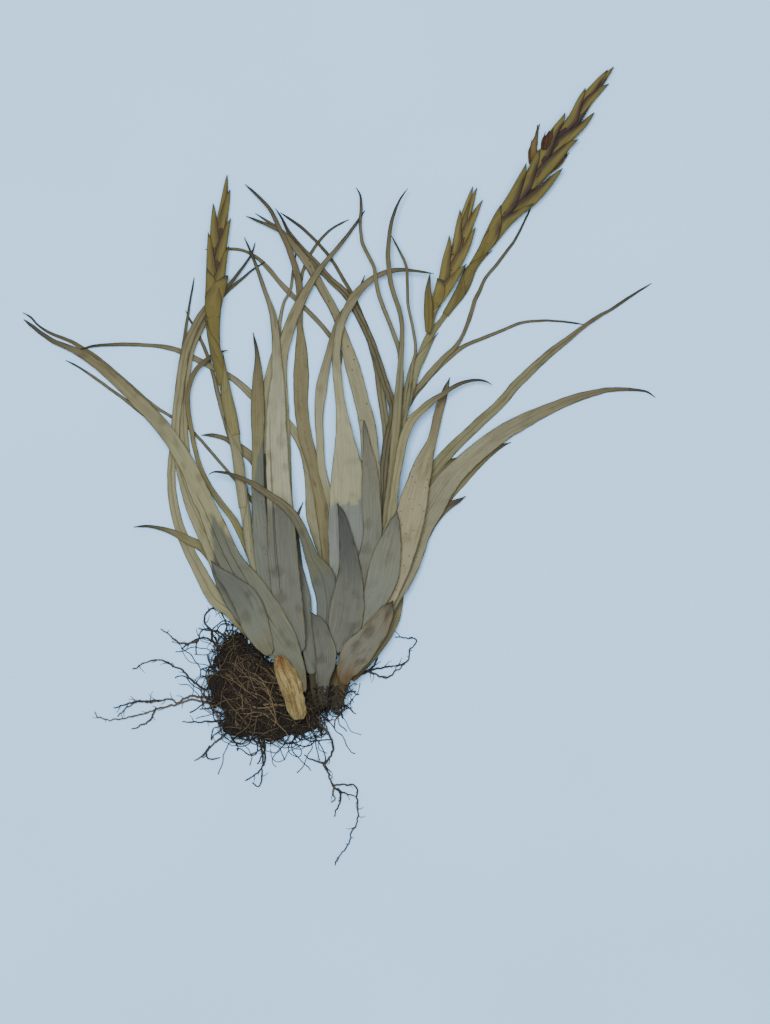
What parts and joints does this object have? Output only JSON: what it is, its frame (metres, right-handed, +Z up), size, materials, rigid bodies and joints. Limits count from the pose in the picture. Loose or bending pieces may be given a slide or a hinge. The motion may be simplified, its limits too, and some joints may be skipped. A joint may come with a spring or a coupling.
{
  "type": "pressed air plant",
  "caption": "Dried, pressed air plant lying flat: two leaf rosettes with narrow arching leaves, keeled flower heads on two stems, a stump and a mat of wiry roots.",
  "frame": {"origin": "middle of the outline seen from above, on the surface the plant lies on", "axes": "+Y runs from the roots towards the flower heads, +X to the right of it, +Z up out of the surface the plant lies on"},
  "size_m": [0.2442, 0.308, 0.0178],
  "materials": {
    "leaf": "dry matt leaf, tan to olive, grey scurf at the base",
    "sheath": "dry matt sheath with grey scurf",
    "stem": "dry matt stem, olive brown",
    "flower_head": "dry matt bracts, olive yellow with dark tips",
    "dried_flower": "withered, reddish brown",
    "rhizome": "fibrous, tan",
    "root": "wiry, dark brown"
  },
  "bodies": {
    "root": {"between_bract": "sheath", "bract_lateral": "flower_head", "dried_flower_left": "dried_flower", "dried_flower_right": "dried_flower", "leaf_left_broad_blade": "leaf", "leaf_left_bundle_back": "leaf", "leaf_left_bundle_front": "leaf", "leaf_left_centre_short": "leaf", "leaf_left_crossing_thread": "leaf", "leaf_left_curved_thread": "leaf", "leaf_left_dark_strip": "leaf", "leaf_left_edge_spur": "leaf", "leaf_left_front_sheath": "sheath", "leaf_left_hook_blade": "leaf", "leaf_left_inner_upper": "leaf", "leaf_left_outer_blade": "leaf", "leaf_left_short_cross": "leaf", "leaf_left_short_curl": "leaf", "leaf_left_sickle": "leaf", "leaf_left_stray_thread": "leaf", "leaf_left_thin_arc": "leaf", "leaf_left_thread_sickle": "leaf", "leaf_right_brown_blade": "leaf", "leaf_right_centre_point": "sheath", "leaf_right_dark_fold": "leaf", "leaf_right_dark_tongue": "leaf", "leaf_right_far_arch": "leaf", "leaf_right_fine_lower": "leaf", "leaf_right_fine_upper": "leaf", "leaf_right_front_blade": "leaf", "leaf_right_grey_sheath": "sheath", "leaf_right_left_arch": "leaf", "leaf_right_long_arch": "leaf", "leaf_right_lower_lance": "leaf", "leaf_right_old_sheath": "sheath", "leaf_right_outer_short": "leaf", "leaf_right_pale_blade": "leaf", "leaf_right_pointed_blade": "sheath", "leaf_right_side_point": "sheath", "leaf_right_small_arc": "leaf", "leaf_right_split_tip": "leaf", "leaf_right_spotted_blade": "leaf", "leaf_right_thin_a": "leaf", "leaf_right_thin_b": "leaf", "leaf_right_thin_c": "leaf", "leaf_right_under_fold": "leaf", "leaf_right_under_tongue": "leaf", "leaf_right_upper_lance": "leaf", "pedicel_lateral": "stem", "rhizome_stump": "rhizome", "right_old_base_inner": "sheath", "right_old_base_outer": "sheath", "root_long": "root", "root_loop": "root", "root_mass": "root", "scape_left": "stem", "scape_right": "stem", "spike_lateral": "flower_head", "spike_left": "flower_head", "spike_main": "flower_head"}
  },
  "joints": []
}
